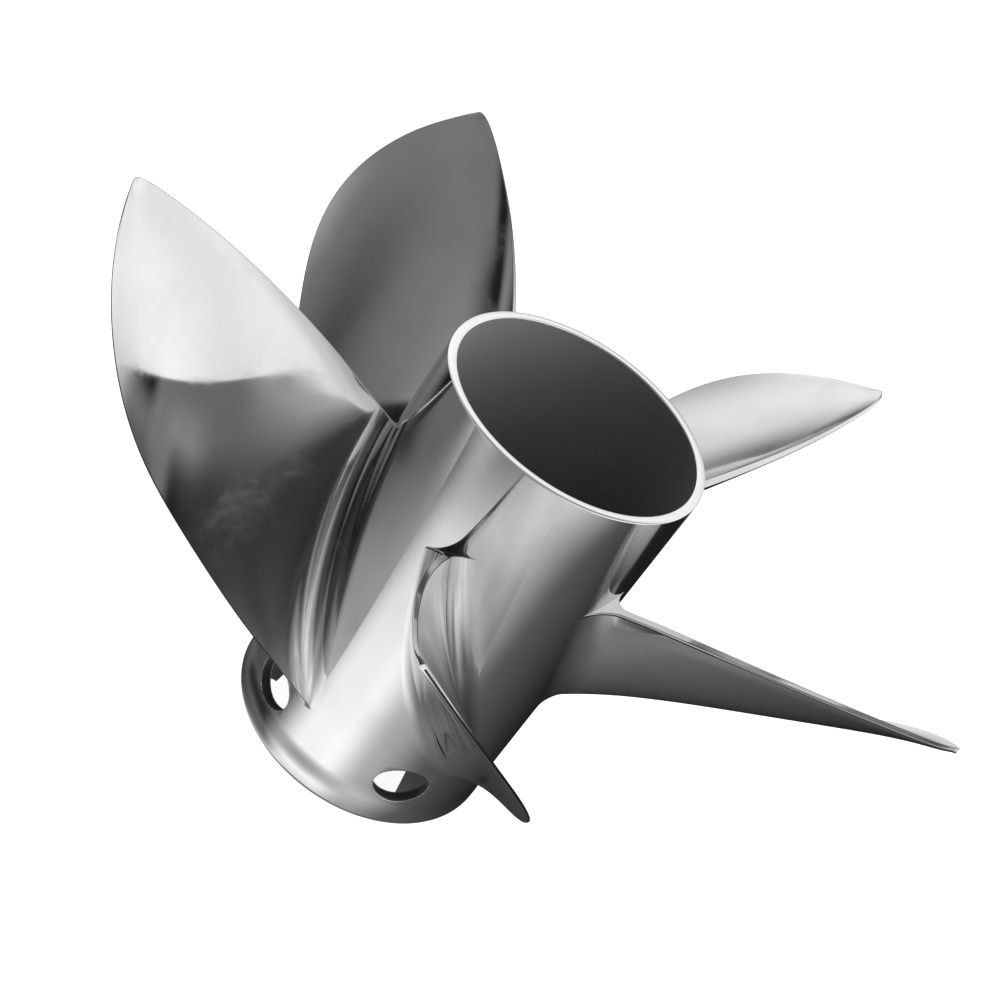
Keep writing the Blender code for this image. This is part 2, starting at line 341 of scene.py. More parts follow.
@dataclass(frozen=True)
class BarrelSteel(MirrorSteel):
    """The barrel's mirror polish outside, a rim painted near white as a highlight, and the
    as-cast bore with painted shade.
    """

    name: str = "barrel_stainless"
    bore_colour: Triple = (0.48, 0.485, 0.485)
    # Painted shade: the bore is coloured darker towards +X, one side of the tube.
    side_shade_colour: Triple = (0.20, 0.205, 0.205)
    side_shade_reach: float = 0.052
    side_shade_scale: float = 60.0
    side_shade_drift: float = 0.012
    bore_roughness: float = 0.60
    bore_metallic: float = 0.35
    # Painted highlight: the machined rim's top is coloured near white, brighter than the steel
    # round it.
    rim_highlight_colour: Triple = (0.96, 0.96, 0.955)
    # Painted shade: near-black colour for the walls cut through by the vents.
    vent_shade_colour: Triple = (0.08, 0.08, 0.08)
    bore_radius: float = 0.0548
    outer_radius: float = 0.0594
    taper: float = 0.0062
    rim_height: float = 0.1937
    rim_blend: float = 0.0003
    wall_blend: Point = (0.0006, 0.0002)
    vent_shade_blend: float = 0.0004
    grain_scale: float = 900.0
    grain_depth: float = 0.00010

    def paint(self, shader: Shader) -> None:
        """Mirror polish outside, a machined rim painted near white as a highlight, casting skin
        inside with painted shade on one side and in the vent walls.

        Args:
            shader: the material's shader.
        """
        place = shader.place()
        side, _, height = shader.parts(place)
        radius = shader.radius(place)
        reach = radius + height * self.taper
        rim = shader.step(height, self.rim_height - self.rim_blend, self.rim_height)
        low, high = (self.outer_radius - blend for blend in self.wall_blend)
        outside = shader.step(reach, low, high).math("MAXIMUM", rim)
        inside = 1.0 - outside
        smear = self.smear(shader, place)
        # Painted shade: a soft step across the bore, darker on the +X side.
        drift = shader.noise(place, self.side_shade_scale, 4.0, 0.6) * self.side_shade_drift
        side_shade = shader.step(side + drift, -self.side_shade_reach, self.side_shade_reach)
        skin = shader.mix(side_shade, self.bore_colour, self.side_shade_colour)
        # Painted shade: inside the wall, past the bore's radius, the vent walls turn near black.
        vent_shade = shader.step(radius, self.bore_radius, self.bore_radius + self.vent_shade_blend)
        wall = shader.mix(outside, shader.mix(vent_shade, skin, self.vent_shade_colour),
                          self.steel(shader, smear))
        grain = shader.noise(place, self.grain_scale, 3.0, 0.65)
        shader.finish({
            # Painted highlight: the rim's top takes the near-white colour.
            "Base Color": shader.mix(rim, wall, self.rim_highlight_colour),
            "Metallic": outside * (1.0 - self.bore_metallic) + self.bore_metallic,
            "Roughness": outside * self.polish(smear) + inside * self.bore_roughness,
            "Normal": shader.bump(grain * inside, self.grain_depth, self.waves(shader, place)),
        })


@dataclass(frozen=True)
class MottledSkin(Finish):
    """A skin as it leaves the mould, in patches of two shades with a fine grain."""

    # For cast steel these shades are part skin colour and part painted shade, darker for the
    # ribs and inner hub inside the barrel.
    dark: Triple = (0.09, 0.09, 0.088)
    light: Triple = (0.16, 0.16, 0.157)
    metallic: float = 1.0
    patch_scale: float = 70.0
    patch_range: Point = (0.3, 0.7)
    roughness: float = 0.40
    patch_roughness: float = 0.12
    grain_noise: Triple = (900.0, 3.0, 0.65)
    grain_depth: float = 0.00012

    def paint(self, shader: Shader) -> None:
        """Mottled skin with a fine grain.

        Args:
            shader: the material's shader.
        """
        place = shader.place()
        patch = shader.patches(place, self.patch_scale, self.patch_range)
        shader.finish({
            "Base Color": shader.mix(patch, self.dark, self.light),
            "Metallic": self.metallic,
            "Roughness": patch * self.patch_roughness + self.roughness,
            "Normal": shader.bump(shader.noise(place, *self.grain_noise), self.grain_depth),
        })


@dataclass(frozen=True)
class CastSteel(MottledSkin):
    """As-cast stainless with the skin of its sand mould, its dark shades partly painted shade
    for the parts inside the barrel.
    """

    name: str = "as_cast_stainless"


@dataclass(frozen=True)
class MouldedRubber(MottledSkin):
    """Dull black moulded rubber with a dusty bloom."""

    name: str = "moulded_rubber"
    dark: Triple = (0.014, 0.014, 0.015)
    light: Triple = (0.040, 0.039, 0.038)
    metallic: float = 0.0
    patch_scale: float = 120.0
    patch_range: Point = (0.35, 0.75)
    roughness: float = 0.62
    patch_roughness: float = 0.15
    grain_noise: Triple = (1600.0, 2.0, 0.6)
    grain_depth: float = 0.00005


@dataclass(frozen=True)
class MachinedBrass(Finish):
    """Turned brass with fine rings from the tool."""

    name: str = "machined_brass"
    dark: Triple = (0.52, 0.36, 0.13)
    light: Triple = (0.74, 0.55, 0.26)
    tarnish_scale: float = 90.0
    tarnish_range: Point = (0.3, 0.7)
    roughness: float = 0.22
    tarnish_roughness: float = 0.15
    ring_pitch: float = 0.00035
    ring_depth: float = 0.000008

    def paint(self, shader: Shader) -> None:
        """Yellow metal with turning rings and a little tarnish.

        Args:
            shader: the material's shader.
        """
        place = shader.place()
        tarnish = shader.patches(place, self.tarnish_scale, self.tarnish_range)
        _, _, height = shader.parts(place)
        reach = shader.radius(place) + height
        rings = (reach * (FULL_TURN / self.ring_pitch)).math("SINE") * 0.5 + 0.5
        shader.finish({
            "Base Color": shader.mix(tarnish, self.light, self.dark),
            "Metallic": 1.0,
            "Roughness": tarnish * self.tarnish_roughness + self.roughness,
            "Normal": shader.bump(rings, self.ring_depth),
        })


@dataclass(frozen=True)
class PaleFloor(Finish):
    """A plain pale studio floor."""

    name: str = "pale_floor"
    colour: Triple = (0.86, 0.86, 0.86)
    roughness: float = 0.90
    glow: float = 0.90

    def paint(self, shader: Shader) -> None:
        """Matt pale paint that glows, so that no shadow shows on it.

        Args:
            shader: the material's shader.
        """
        shader.finish({"Base Color": (*self.colour, 1.0), "Roughness": self.roughness,
                       "Specular IOR Level": 0.0, "Emission Color": (1.0, 1.0, 1.0, 1.0),
                       "Emission Strength": self.glow})


# Modelling


def deselect_all() -> None:
    """Deselect every object."""
    bpy.ops.object.select_all(action="DESELECT")


def choose(piece: Piece) -> None:
    """Make one object the only selected and active one.

    Args:
        piece: the object.
    """
    deselect_all()
    piece.select_set(True)
    bpy.context.view_layer.objects.active = piece


def settle(piece: Piece, name: str) -> Piece:
    """Bring a piece's place into its mesh, and name it.

    Args:
        piece: the piece.
        name: its new name.

    Returns:
        The same piece.
    """
    choose(piece)
    bpy.ops.object.transform_apply(location=True, rotation=True, scale=True)
    piece.name = piece.data.name = name
    return piece


def apply_modifier(piece: Piece, kind: str, **settings: Value) -> None:
    """Add a modifier and apply it.

    Args:
        piece: the piece.
        kind: the modifier's type.
        settings: its properties.
    """
    choose(piece)
    modifier = piece.modifiers.new(kind.lower(), kind)
    for name, value in settings.items():
        setattr(modifier, name, value)
    bpy.ops.object.modifier_apply(modifier=modifier.name)


def smooth_by_angle(piece: Piece, degrees: float) -> None:
    """Shade smooth, with edges sharper than an angle kept."""
    choose(piece)
    bpy.ops.object.shade_smooth_by_angle(angle=math.radians(degrees))


def arc(centre: Point, radius: float, start: float, end: float, steps: int) -> list[Point]:
    """Points on an arc in the (radius, height) plane.

    Args:
        centre: the middle of the arc.
        radius: its radius.
        start: the angle of the first point, in degrees.
        end: the angle of the last.
        steps: how many stretches the arc has.

    Returns:
        The points.
    """
    points = []
    for i in range(steps + 1):
        angle = math.radians(start + (end - start) * i / steps)
        points.append((centre[0] + radius * math.cos(angle),
                       centre[1] + radius * math.sin(angle)))
    return points


def between(ends: Point, share: float) -> float:
    """A value from the first end to the second, by a share from 0 to 1."""
    return ends[0] + (ends[1] - ends[0]) * share


def belly(share: float) -> float:
    """Nothing at both ends of a share and one halfway."""
    return 4 * share * (1 - share)


def lean(share: float) -> float:
    """Nothing at both ends and halfway, below zero before and above it after."""
    return belly(share) * (2 * share - 1)


def turned(name: str, outline: Sequence[Point], sides: int) -> Piece:
    """Turn a closed outline: a ring is added and extruded along it, then closed.

    Args:
        name: the piece's name.
        outline: (radius, height) points round the wall's section.
        sides: how many sides the rings have.

    Returns:
        The closed piece.
    """
    deselect_all()
    radius, height = outline[0]
    bpy.ops.mesh.primitive_circle_add(vertices=sides, radius=radius, location=(0, 0, height))
    piece = bpy.context.object
    bpy.ops.object.mode_set(mode="EDIT")
    bpy.ops.mesh.select_all(action="SELECT")
    for next_radius, next_height in [*outline[1:], outline[0]]:
        bpy.ops.mesh.extrude_region_move(
            TRANSFORM_OT_translate={"value": (0, 0, next_height - height)})
        share = next_radius / radius
        bpy.ops.transform.resize(value=(share, share, 1), center_override=(0, 0, next_height))
        radius, height = next_radius, next_height
    bpy.ops.mesh.select_all(action="SELECT")
    bpy.ops.mesh.remove_doubles(threshold=MERGE)
    bpy.ops.mesh.normals_make_consistent(inside=False)
    bpy.ops.object.mode_set(mode="OBJECT")
    return settle(piece, name)


def dress(piece: Piece, finish: Finish, slot: Slot, node: str) -> None:
    """Give a piece its finish, seat it on the root body and let it stand for a node.

    Args:
        piece: the piece.
        finish: its finish.
        slot: the material slot of the node; not used.
        node: the node's name.
    """
    piece.data.materials.clear()
    piece.data.materials.append(finish.material())
    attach(piece, "root")
    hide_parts(node)
    LOG.info("%s stands for %s: %d faces", piece.name, node, len(piece.data.polygons))


def spread(first: Piece, name: str, node: str, count: int, start: float,
           finish: Finish, slot: Slot) -> None:
    """Copy a piece evenly round the shaft, each copy with its own mesh, and drop the first.

    Args:
        first: the piece.
        name: the copies' name, without a number.
        node: the name of the nodes that they stand for, without a number.
        count: how many there are.
        start: the turn of the first copy.
        finish: their finish.
        slot: their material slot.
    """
    for i in range(count):
        twin = first.copy()
        twin.data = first.data.copy()
        twin.data.transform(Matrix.Rotation(start + FULL_TURN * i / count, 4, "Z"))
        twin.name = twin.data.name = f"{name}_{i + 1}"
        bpy.context.scene.collection.objects.link(twin)
        dress(twin, finish, slot, f"{node}_{i + 1}")
    bpy.data.objects.remove(first)


@dataclass
class Barrel:
    """The exhaust barrel with its flared front lip, bright aft rim and oval vents."""

    length: float = 0.194
    aft_radius: float = 0.0582
    front_radius: float = 0.0594
    aft_wall: float = 0.0040
    front_wall: float = 0.0050
    rim_round: float = 0.00035
    lip_radius: float = 0.0605
    lip_height: float = 0.018
    lip_band: float = 0.0070
    lip_foot_round: float = 0.0030
    neck_steps: int = 14
    ring_heights: tuple[float, ...] = (0.036, 0.045, 0.10, 0.15)
    bore_foot: float = 0.014
    mouth_round: float = 0.0006
    vent_angle: float = math.radians(228.9)
    vent_height: float = 0.0253
    vent_half_width: float = 0.0124
    vent_half_height: float = 0.0100
    vent_count: int = 5
    vent_edge: float = 0.00012
    vent_sides: int = 96
    plug_depth: float = 0.03
    sides: int = 360
    bevel_angle: float = math.radians(50)
    crease: float = 38
    finish: Finish = BarrelSteel()

    def radius(self, height: float) -> float:
        """Outer radius of the tapered barrel, above the lip."""
        return self.front_radius + (self.aft_radius - self.front_radius) * height / self.length

    def bore(self, height: float) -> float:
        """Inner radius of the wall."""
        front, aft = self.front_radius - self.front_wall, self.aft_radius - self.aft_wall
        return front + (aft - front) * height / self.length

    def outline(self) -> list[Point]:
        """Draw the wall's section, from the lip's foot round to the bore.

        Returns:
            Its points.
        """
        foot = arc((self.lip_radius - self.lip_foot_round, self.lip_foot_round),
                   self.lip_foot_round, -90, 0, 8)
        neck = []
        for i in range(self.neck_steps + 1):
            share = i / self.neck_steps
            height = between((self.lip_band, self.lip_height), share)
            blend = (1 + math.cos(math.pi * share)) / 2
            neck.append((between((self.radius(height), self.lip_radius), blend), height))
        wall = [(self.radius(z), z) for z in self.ring_heights]
        top = self.length - self.rim_round
        outer = arc((self.radius(top) - self.rim_round, top), self.rim_round, 0, 90, 4)
        inner = arc((self.bore(top) + self.rim_round, top), self.rim_round, 90, 180, 4)
        bore = [(self.bore(z), z) for z in (*self.ring_heights[::-1], self.bore_foot)]
        mouth = arc((self.bore(0.0) + self.mouth_round, self.mouth_round), self.mouth_round,
                    180, 270, 3)
        return foot + neck + wall + outer + inner + bore + mouth

    def cutter(self) -> Piece:
        """Make oval plugs through the wall, one at each vent.

        Returns:
            The plugs as one object.
        """
        plugs = []
        for i in range(self.vent_count):
            angle = self.vent_angle + FULL_TURN * i / self.vent_count
            deselect_all()
            bpy.ops.mesh.primitive_cylinder_add(vertices=self.vent_sides, radius=1.0,
                                                depth=self.plug_depth)
            plug = bpy.context.object
            plug.matrix_world = (Matrix.Rotation(angle, 4, "Z")
                                 @ Matrix.Translation((self.front_radius, 0, self.vent_height))
                                 @ Matrix.Rotation(math.pi / 2, 4, "Y")
                                 @ Matrix.Diagonal((self.vent_half_height,
                                                    self.vent_half_width, 1, 1)))
            plugs.append(plug)
        choose(plugs[0])
        for plug in plugs:
            plug.select_set(True)
        bpy.ops.object.join()
        return plugs[0]

    def build(self) -> None:
        """Turn the wall, cut the vents and round their edges."""
        barrel = turned("barrel", self.outline(), self.sides)
        cutter = self.cutter()
        apply_modifier(barrel, "BOOLEAN", object=cutter, solver="EXACT")
        bpy.data.objects.remove(cutter)
        apply_modifier(barrel, "BEVEL", width=self.vent_edge, segments=3, limit_method="ANGLE",
                       angle_limit=self.bevel_angle, use_clamp_overlap=False)
        smooth_by_angle(barrel, self.crease)
        dress(barrel, self.finish, Slot.POLISHED, "hub_barrel")


@dataclass
class BladeSet:
    """Five like blades, lofted through sections that wrap round the barrel.

    span runs from 0 at the barrel to 1 at the tip, and chord from 0 at the trailing edge
    to 1 at the leading edge.
    """

    barrel: Barrel
    count: int = 5
    tip_radius: float = 15.04 * INCH / 2
    pitch: float = 28.3 * INCH
    trail_root_setback: float = 0.0493
    trail_rise: float = 0.0585
    trail_arch: float = 0.0034
    trail_root_angle: float = math.radians(188.7)
    trail_sweep: float = math.radians(9.6)
    tip_round_sweep: float = math.radians(0.84)
    tip_round_power: float = 40
    trail_bow: float = math.radians(-0.85)
    chord_wrap: float = math.radians(55.8)
    chord_taper_power: float = 0.558
    chord_tip_share: float = 0.9999
    chord_belly: float = -0.156
    chord_tip_gain: float = 0.50
    chord_lean: float = -0.25
    lead_flare_wrap: float = math.radians(3.6)
    lead_flare_span: float = 0.25
    root_pitch_loss: float = 0.087
    tip_pitch_loss: float = 0.170
    pitch_loss_power: int = 4
    belly_pitch_gain: float = 0.072
    pitch_lean: float = 0.143
    trail_thickness: Point = (0.0042, 0.0018)
    lead_thickness: float = 0.0010
    bulge: Point = (0.0060, 0.0012)
    camber_share: Point = (0.054, 0.003)
    back_fillet: float = 0.0090
    driving_fillet_gain: float = 0.0050
    fillet_gain_power: int = 4
    lead_fillet_loss: float = 0.75
    lead_fillet_power: int = 8
    nose_share: float = 0.7
    edge_round: Point = (0.0004, 0.0010)
    edge_half_share: float = 0.6
    edge_chord_share: float = 0.15
    # Painted shade lines along the edges: how dark on the driving and back faces, and where they
    # start.
    edge_shade_levels: Point = (0.35, 1.0)
    back_shade_start: int = 5
    nose_shade_start: float = 0.25
    cup_depth: float = 0.0009
    cup_width: float = 0.0085
    cup_chord_share: float = 0.3
    cup_start: float = 0.15
    foot_proud: float = 0.00001
    foot_depth: float = 0.0010
    chord_steps: int = 72
    nose_steps: int = 10
    round_steps: int = 7
    end_steps: int = 6
    fillet_steps: int = 18
    span_steps: int = 84
    crease: float = 40
    finish: Finish = MirrorSteel()

    def wrap(self, span: float) -> float:
        """Find the angle that the chord covers round the shaft.

        Args:
            span: share of the span.

        Returns:
            The angle.
        """
        taper = (1 - self.chord_tip_share * span) ** self.chord_taper_power
        fullness = (1 + self.chord_belly * belly(span) + self.chord_tip_gain * span ** 2
                    + self.chord_lean * lean(span))
        flare = max(0.0, 1 - span / self.lead_flare_span)
        return self.chord_wrap * taper * fullness + self.lead_flare_wrap * flare ** 2

    def drop(self, span: float) -> float:
        """Find the height that the chord loses from the trailing to the leading edge.

        Args:
            span: share of the span.

        Returns:
            The height.
        """
        power = self.pitch_loss_power
        loss = self.root_pitch_loss * (1 - span) ** power + self.tip_pitch_loss * span ** power
        gain = self.belly_pitch_gain * belly(span) + self.pitch_lean * lean(span)
        return self.pitch * (1 + gain - loss) * self.wrap(span) / FULL_TURN

    def trail_height(self, span: float) -> float:
        """Height of the trailing edge."""
        root = self.barrel.length - self.trail_root_setback
        return root + self.trail_rise * span + self.trail_arch * belly(span)

    def trail_angle(self, span: float) -> float:
        """Angle of the trailing edge, which rounds over to the tip."""
        rounding = self.tip_round_sweep * span ** self.tip_round_power
        return (self.trail_root_angle + self.trail_sweep * span
                + self.trail_bow * belly(span) + rounding)

    def fillet(self, chord: float, face: Face) -> float:
        """Find the root fillet's radius: fuller on the driving face, small at the nose.

        Args:
            chord: share of the chord.
            face: the blade's face.

        Returns:
            The radius.
        """
        fuller = self.driving_fillet_gain * (1 - (1 - chord) ** self.fillet_gain_power)
        gain = fuller if face is Face.DRIVING else 0.0
        loss = self.lead_fillet_loss * chord ** self.lead_fillet_power
        return (self.back_fillet + gain) * (1 - loss)

    def half_thickness(self, span: float, chord: float, face: Face) -> float:
        """Measure from the middle of the blade to one face, with the root fillet.

        Args:
            span: share of the span.
            chord: share of the chord.
            face: the blade's face.

        Returns:
            The thickness of that half.
        """
        trail, bulge = between(self.trail_thickness, span), between(self.bulge, span)
        plain = trail * (1 - chord) + self.lead_thickness * chord + bulge * belly(chord)
        radius = self.fillet(chord, face)
        left = max(0.0, radius - span * (self.tip_radius - self.barrel.aft_radius))
        return plain / 2 + radius - math.sqrt(radius ** 2 - left ** 2)

    def chord_length(self, span: float) -> float:
        """Length of the chord, measured round the shaft."""
        seat = self.barrel.radius(self.trail_height(span))
        return math.hypot(between((seat, self.tip_radius), span) * self.wrap(span),
                          self.drop(span))

    def cup(self, span: float, reach: float, length: float) -> Point:
        """Curl of the trailing edge towards the driving face.

        Args:
            span: share of the span.
            reach: metres from the trailing edge along the chord.
            length: metres of chord.

        Returns:
            How far the blade is lifted, and the slope that it is lifted at.
        """
        width = min(self.cup_width, self.cup_chord_share * length)
        left = max(0.0, 1 - reach / width)
        depth = self.cup_depth / self.cup_width * (left * min(1.0, span / self.cup_start))
        return depth * width * left, 2 * depth

    def point(self, span: float, chord: float, ahead: float, offset: float,
              sink: float) -> Vector:
        """A point of the blade.

        Args:
            span: share of the span.
            chord: share of the chord.
            ahead: metres further along the chord, towards the leading edge.
            offset: metres off the chord, towards the driving face.
            sink: metres below the surface, for the part of the foot in the wall.

        Returns:
            The point.
        """
        wrap, drop = self.wrap(span), self.drop(span)
        angle = self.trail_angle(span) + wrap * chord
        height = self.trail_height(span) - drop * chord
        seat = self.barrel.radius(height) + self.foot_proud
        radius = between((seat, self.tip_radius), span)
        length = math.hypot(radius * wrap, drop)
        camber = between(self.camber_share, span)
        lift, slope = self.cup(span, chord * length + ahead, length)
        off = offset + lift - camber * length * belly(chord)
        ahead += offset * slope
        along, across = radius * wrap / length, drop / length
        angle += (off * across + ahead * along) / radius
        height += off * along - ahead * across
        seat = self.barrel.radius(height) + self.foot_proud
        radius = between((seat, self.tip_radius), span) - sink
        return Vector((radius * math.cos(angle), radius * math.sin(angle), height))

    def side(self, span: float, face: Face, sink: float) -> list[Vector]:
        """Find one face's points, from the end face's middle round its edge to the nose.

        Args:
            span: share of the span.
            face: the blade's face.
            sink: metres below the surface.

        Returns:
            The points.
        """
        length = self.chord_length(span)
        half = self.half_thickness(span, 0.0, face)
        edge = min(self.edge_round[0 if face is Face.DRIVING else 1],
                   half * self.edge_half_share, length * self.edge_chord_share)
        points = []
        for i in range(self.end_steps // 2):
            share = i / (self.end_steps // 2)
            points.append(self.point(span, 0.0, 0.0, face.value * (half - edge) * share, sink))
        for i in range(self.round_steps):
            turn = math.pi / 2 * i / self.round_steps
            off = half - edge + edge * math.sin(turn)
            points.append(self.point(span, 0.0, edge * (1 - math.cos(turn)),
                                     face.value * off, sink))
        for i in range(self.chord_steps + 1):
            share = (1 - math.cos(math.pi * i / self.chord_steps)) / 2
            chord = edge / length + (1 - edge / length) * share
            off = face.value * self.half_thickness(span, chord, face)
            points.append(self.point(span, chord, 0.0, off, sink))
        return points

    def ring(self, span: float, sink: float = 0.0) -> list[Vector]:
        """Join a section: driving face, nose, back, in order from the end face's middle.

        Args:
            span: share of the span.
            sink: metres below the surface.

        Returns:
            Its points.
        """
        driving = self.side(span, Face.DRIVING, sink)
        back = self.side(span, Face.BACK, sink)
        ahead, behind = (self.half_thickness(span, 1.0, face) for face in Face)
        middle, half = (ahead - behind) / 2, (ahead + behind) / 2
        nose = []
        for i in range(1, self.nose_steps):
            turn = math.pi * i / self.nose_steps
            nose.append(self.point(span, 1.0, self.nose_share * half * math.sin(turn),
                                   middle + half * math.cos(turn), sink))
        return driving + nose + back[:0:-1]

    def spans(self) -> list[float]:
        """Spread the sections over the span, closer in the fillet and at the tip.

        Returns:
            Shares of the span.
        """
        reach = self.tip_radius - self.barrel.aft_radius
        top = (self.back_fillet + self.driving_fillet_gain) / reach
        quarter = math.pi / 2
        fillet = [top * (1 - math.cos(quarter * i / self.fillet_steps))
                  for i in range(self.fillet_steps)]
        rest = [top + (1 - top) * math.sin(quarter * i / self.span_steps)
                for i in range(self.span_steps + 1)]
        return fillet + rest

    def loft(self) -> Piece:
        """Skin one blade through its sections, with a foot let into the barrel's wall.

        Returns:
            The blade.
        """
        rings = [self.ring(0.0, self.foot_depth)] + [self.ring(span) for span in self.spans()]
        count = len(rings[0])
        mesh = bpy.data.meshes.new("blade")
        bm = bmesh.new()
        grid = [[bm.verts.new(point) for point in ring] for ring in rings]
        for low, high in zip(grid, grid[1:]):
            for i in range(count):
                bm.faces.new((low[i - 1], low[i], high[i], high[i - 1]))
        for ring in (grid[0], grid[-1]):
            half = count // 2
            for i in range(half):
                corners = [ring[i], ring[i + 1], ring[-i - 1], ring[-i % count]]
                unique = list(dict.fromkeys(corners))
                if len(unique) > 2:
                    bm.faces.new(unique)
        bmesh.ops.recalc_face_normals(bm, faces=bm.faces)
        bm.to_mesh(mesh)
        bm.free()
        blade = bpy.data.objects.new("blade", mesh)
        bpy.context.scene.collection.objects.link(blade)
        self.mark_edge_shade(mesh, count)
        smooth_by_angle(blade, self.crease)
        return blade

    def mark_edge_shade(self, mesh: bpy.types.Mesh, count: int) -> None:
        """Mark the points of the rounded edges, where painted shade draws dark lines.

        Args:
            mesh: the blade's mesh, ring after ring.
            count: points in a ring.
        """
        first = self.end_steps // 2
        nose = first + self.round_steps + self.chord_steps
        marks = []
        for span in [0.0, *self.spans()]:
            ring = [0.0] * count
            for place in range(first + 1, first + self.round_steps):
                ring[place] = self.edge_shade_levels[0]
            for place in range(first + self.back_shade_start, first + self.round_steps + 1):
                ring[-place] = self.edge_shade_levels[1]
            for place in range(nose, nose + self.nose_steps + 1):
                ring[place] = min(1.0, span / self.nose_shade_start)
            marks += ring
        mark = mesh.attributes.new(EDGE_SHADE_MARK, "FLOAT", "POINT")
        mark.data.foreach_set("value", marks)

    def build(self) -> None:
        """Loft one blade and copy it round the barrel."""
        spread(self.loft(), "polished_blade", "blade", self.count, 0.0, self.finish,
               Slot.POLISHED)


@dataclass
class InnerHub:
    """The inner hub tube, with the lip at its aft end that holds the cushion."""

    radius: float = 0.0290
    wall: float = 0.0035
    bottom: float = 0.0100
    top: float = 0.1180
    lip_radius: float = 0.0200
    lip_height: float = 0.0045
    edge: float = 0.0012
    sides: int = 144
    crease: float = 35
    finish: Finish = CastSteel()

    def outline(self) -> list[Point]:
        """Draw the tube's section, with rounded edges.

        Returns:
            Its points.
        """
        bore, edge = self.radius - self.wall, self.edge
        small, under = edge / 2, self.top - self.lip_height
        return [
            *arc((bore + small, self.bottom + small), small, 180, 270, 3),
            *arc((self.radius - edge, self.bottom + edge), edge, -90, 0, 4),
            *arc((self.radius - edge, self.top - edge), edge, 0, 90, 4),
            *arc((self.lip_radius + small, self.top - small), small, 90, 180, 3),
            *arc((self.lip_radius + small, under + small), small, 180, 270, 3),
            (bore, under),
        ]

    def build(self) -> None:
        """Turn the tube."""
        hub = turned("inner_tube", self.outline(), self.sides)
        smooth_by_angle(hub, self.crease)
        dress(hub, self.finish, Slot.CAST, "inner_hub")


@dataclass
class Ribs:
    """Three radial ribs between the inner hub and the barrel, each with a stepped foot."""

    barrel: Barrel
    inner: InnerHub
    count: int = 3
    thickness: float = 0.0050
    bottom: float = 0.0005
    top: float = 0.1080
    foot_radius: float = 0.0428
    throat_radius: float = 0.0395
    throat_height: float = 0.0180
    neck_height: float = 0.0300
    angle: float = math.radians(199.0)
    gap: float = 0.0001
    cut_past: float = 0.01
    edge: float = 0.0009
    bevel_angle: float = math.radians(40)
    crease: float = 35
    finish: Finish = CastSteel()

    def plate(self) -> Piece:
        """Cut one rib out of a block with straight cuts, then round its edges.

        Returns:
            The rib.
        """
        near = self.inner.radius + self.gap
        far = self.barrel.bore(self.bottom)
        deselect_all()
        bpy.ops.mesh.primitive_cube_add(size=1.0, location=(
            (near + far) / 2, 0, (self.bottom + self.top) / 2))
        rib = bpy.context.object
        rib.scale = (far - near, self.thickness, self.top - self.bottom)
        settle(rib, "rib")
        foot, head = (self.barrel.bore(z) - self.gap for z in (self.bottom, self.top))
        outwards = Vector((self.top - self.bottom, 0, foot - head)).normalized()
        bpy.ops.object.mode_set(mode="EDIT")
        bpy.ops.mesh.select_all(action="SELECT")
        bpy.ops.mesh.bisect(plane_co=(foot, 0, self.bottom), plane_no=outwards, use_fill=True,
                            clear_outer=True)
        bpy.ops.object.mode_set(mode="OBJECT")
        inside, below = near - self.cut_past, self.bottom - self.cut_past
        self.carve(rib, [(self.foot_radius, self.bottom),
                         (self.throat_radius, self.throat_height), (near, self.neck_height),
                         (inside, self.neck_height), (inside, below), (self.foot_radius, below)])
        apply_modifier(rib, "BEVEL", width=self.edge, segments=3, limit_method="ANGLE",
                       angle_limit=self.bevel_angle)
        smooth_by_angle(rib, self.crease)
        return rib

    def carve(self, rib: Piece, outline: Sequence[Point]) -> None:
        """Take an outline out of a rib, right through its thickness.

        Args:
            rib: the rib.
            outline: (radius, height) points round the part that goes.
        """
        deselect_all()
        bpy.ops.mesh.primitive_circle_add(vertices=len(outline), radius=1.0, fill_type="NGON")
        tool = bpy.context.object
        for vertex, (radius, height) in zip(tool.data.vertices, outline):
            vertex.co = (radius, -self.thickness, height)
        bpy.ops.object.mode_set(mode="EDIT")
        bpy.ops.mesh.select_all(action="SELECT")
        bpy.ops.mesh.extrude_region_move(
            TRANSFORM_OT_translate={"value": (0, 2 * self.thickness, 0)})
        bpy.ops.mesh.select_all(action="SELECT")
        bpy.ops.mesh.normals_make_consistent(inside=False)
        bpy.ops.object.mode_set(mode="OBJECT")
        apply_modifier(rib, "BOOLEAN", object=tool, solver="EXACT")
        bpy.data.objects.remove(tool)

    def build(self) -> None:
        """Make one rib and copy it round the inner hub."""
        spread(self.plate(), "cast_rib", "rib", self.count, self.angle, self.finish, Slot.CAST)


@dataclass
class Cushion:
    """The rubber ring that is pressed between the inner hub and the sleeve."""

    outer: float = 0.0252
    inner: float = 0.0148
    bottom: float = 0.0200
    top: float = 0.1000
    edge: float = 0.0020
    groove: float = 0.0016
    sides: int = 120
    crease: float = 35
    finish: Finish = MouldedRubber()

    def outline(self) -> list[Point]:
        """Draw the ring's section, with a moulded groove in each end.

        Returns:
            Its points.
        """
        middle = (self.outer + self.inner) / 2
        lower = arc((middle, self.bottom), self.groove, 180, 0, 6)
        upper = arc((middle, self.top), self.groove, 0, -180, 6)
        return [
            (self.inner, self.bottom), *lower,
            *arc((self.outer - self.edge, self.bottom + self.edge), self.edge, -90, 0, 4),
            *arc((self.outer - self.edge, self.top - self.edge), self.edge, 0, 90, 4),
            *upper, (self.inner, self.top),
        ]

    def build(self) -> None:
        """Turn the ring."""
        ring = turned("cushion_ring", self.outline(), self.sides)
        smooth_by_angle(ring, self.crease)
        dress(ring, self.finish, Slot.RUBBER, "hub_cushion")


